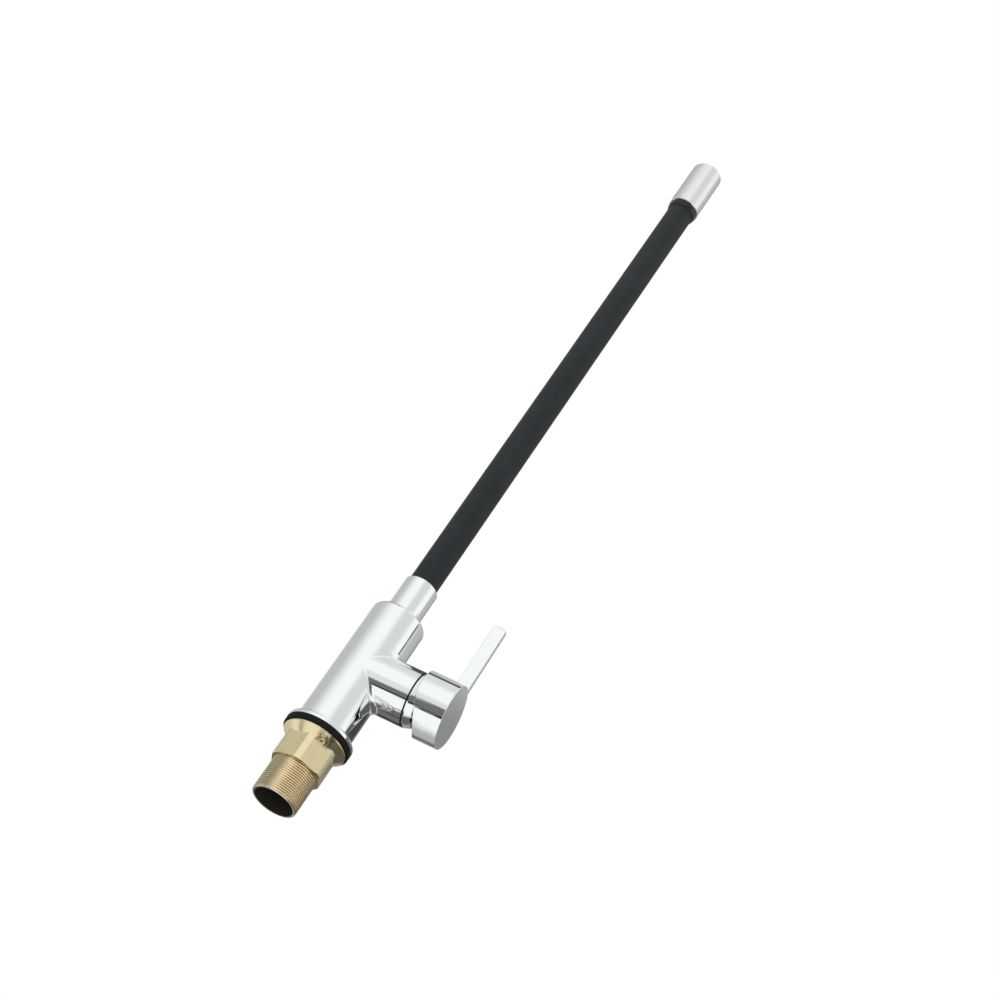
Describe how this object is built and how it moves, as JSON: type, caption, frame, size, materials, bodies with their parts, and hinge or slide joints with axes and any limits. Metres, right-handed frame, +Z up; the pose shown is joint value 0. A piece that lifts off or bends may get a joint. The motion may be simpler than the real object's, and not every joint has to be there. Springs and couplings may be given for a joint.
{
  "type": "kitchen mixer tap",
  "caption": "Upright single-lever mixer tap: side valve branch with a round hub and blade lever, swivelling bendable hose spout, outlet sleeve, flanged locknut on a threaded shank.",
  "frame": {"origin": "on the barrel's axis in the deck surface, which is the underside of the base gasket", "axes": "+Z up along the barrel and the straight hose, +X along the valve branch to the lever"},
  "size_m": [0.086, 0.0452, 0.6338],
  "materials": {
    "chrome": "polished",
    "satin_chrome": "satin",
    "nut_brass": "machined",
    "shank_brass": "machined",
    "black_rubber": "matte",
    "hose_rubber": "satin",
    "black_plastic": "gloss",
    "ceramic": "lapped",
    "grey_plastic": "moulded",
    "white_plastic": "moulded",
    "steel": "machined",
    "inner_brass": "machined"
  },
  "bodies": {
    "base": {"body": "chrome", "base_gasket": "black_rubber", "threaded_shank": "shank_brass", "shank_seal": "black_rubber", "base_seals": "black_rubber", "cartridge_base": "grey_plastic", "fixed_disc": "ceramic", "cartridge_housing": "grey_plastic", "cartridge_nut": "inner_brass", "branch_seal": "black_rubber", "cover_ring": "chrome", "swivel_screw": "steel"},
    "clamp_nut": {"locknut": "nut_brass"},
    "mixing_turn": {"cartridge_collar": "white_plastic", "pivot_pin": "steel"},
    "flow_disc": {"moving_disc": "ceramic", "disc_carrier": "white_plastic"},
    "lever": {"handle": "chrome", "spindle": "inner_brass", "grub_screw": "steel", "screw_plug": "grey_plastic"},
    "spout": {"spout_collar": "chrome", "collar_seals": "black_rubber", "slip_ring": "white_plastic", "core_root": "inner_brass", "hose_sleeve": "hose_rubber", "water_tube": "white_plastic"},
    "hose_1": {"core_link_1": "steel"},
    "hose_2": {"core_link_2": "steel"},
    "hose_3": {"core_link_3": "steel"},
    "hose_4": {"core_link_4": "steel"},
    "hose_5": {"core_link_5": "steel"},
    "hose_6": {"core_link_6": "steel"},
    "hose_7": {"core_link_7": "steel"},
    "outlet": {"core_tip": "inner_brass", "end_collar": "black_plastic", "outlet_cap": "satin_chrome", "aerator_washer": "black_rubber", "aerator_strainer": "steel", "aerator_core": "white_plastic", "aerator_ring": "chrome"}
  },
  "joints": [
    {"name": "spout_swivel", "type": "hinge", "parent": "base", "child": "spout", "pos_m": [0, 0, 0.1021], "axis": [0, 0, 1], "continuous": true},
    {"name": "hose_bend_1", "type": "hinge", "parent": "spout", "child": "hose_1", "pos_m": [0, 0, 0.15556], "axis": [0, 1, 0], "range_deg": [-22.5, 22.5], "deforming": ["hose_sleeve", "water_tube"]},
    {"name": "hose_bend_2", "type": "hinge", "parent": "hose_1", "child": "hose_2", "pos_m": [0, 0, 0.20609], "axis": [0, 1, 0], "range_deg": [-22.5, 22.5]},
    {"name": "hose_bend_3", "type": "hinge", "parent": "hose_2", "child": "hose_3", "pos_m": [0, 0, 0.25661], "axis": [0, 1, 0], "range_deg": [-22.5, 22.5]},
    {"name": "hose_bend_4", "type": "hinge", "parent": "hose_3", "child": "hose_4", "pos_m": [0, 0, 0.30714], "axis": [0, 1, 0], "range_deg": [-22.5, 22.5]},
    {"name": "hose_bend_5", "type": "hinge", "parent": "hose_4", "child": "hose_5", "pos_m": [0, 0, 0.35766], "axis": [0, 1, 0], "range_deg": [-22.5, 22.5]},
    {"name": "hose_bend_6", "type": "hinge", "parent": "hose_5", "child": "hose_6", "pos_m": [0, 0, 0.40819], "axis": [0, 1, 0], "range_deg": [-22.5, 22.5]},
    {"name": "hose_bend_7", "type": "hinge", "parent": "hose_6", "child": "hose_7", "pos_m": [0, 0, 0.45871], "axis": [0, 1, 0], "range_deg": [-22.5, 22.5]},
    {"name": "hose_bend_8", "type": "hinge", "parent": "hose_7", "child": "outlet", "pos_m": [0, 0, 0.50924], "axis": [0, 1, 0], "range_deg": [-22.5, 22.5]},
    {"name": "lever_turn", "type": "hinge", "parent": "base", "child": "mixing_turn", "pos_m": [0.03, 0, 0.0545], "axis": [1, 0, 0], "range_deg": [-50, 50]},
    {"name": "lever_lift", "type": "hinge", "parent": "mixing_turn", "child": "lever", "pos_m": [0.03, 0, 0.0545], "axis": [0, 1, 0], "range_deg": [0, 25]},
    {"name": "disc_slide", "type": "slide", "parent": "mixing_turn", "child": "flow_disc", "axis": [0, 0, 1], "range_m": [0, 0.0025]},
    {"name": "locknut_travel", "type": "slide", "parent": "base", "child": "clamp_nut", "axis": [0, 0, -1], "range_m": [0, 0.022]}
  ],
  "couplings": [
    {"joint": "hose_bend_2", "follows": "hose_bend_1", "ratio": 1},
    {"joint": "hose_bend_3", "follows": "hose_bend_1", "ratio": 1},
    {"joint": "hose_bend_4", "follows": "hose_bend_1", "ratio": 1},
    {"joint": "hose_bend_5", "follows": "hose_bend_1", "ratio": 1},
    {"joint": "hose_bend_6", "follows": "hose_bend_1", "ratio": 1},
    {"joint": "hose_bend_7", "follows": "hose_bend_1", "ratio": 1},
    {"joint": "hose_bend_8", "follows": "hose_bend_1", "ratio": 1},
    {"joint": "disc_slide", "follows": "lever_lift", "m_per_rad": 0.0056}
  ]
}
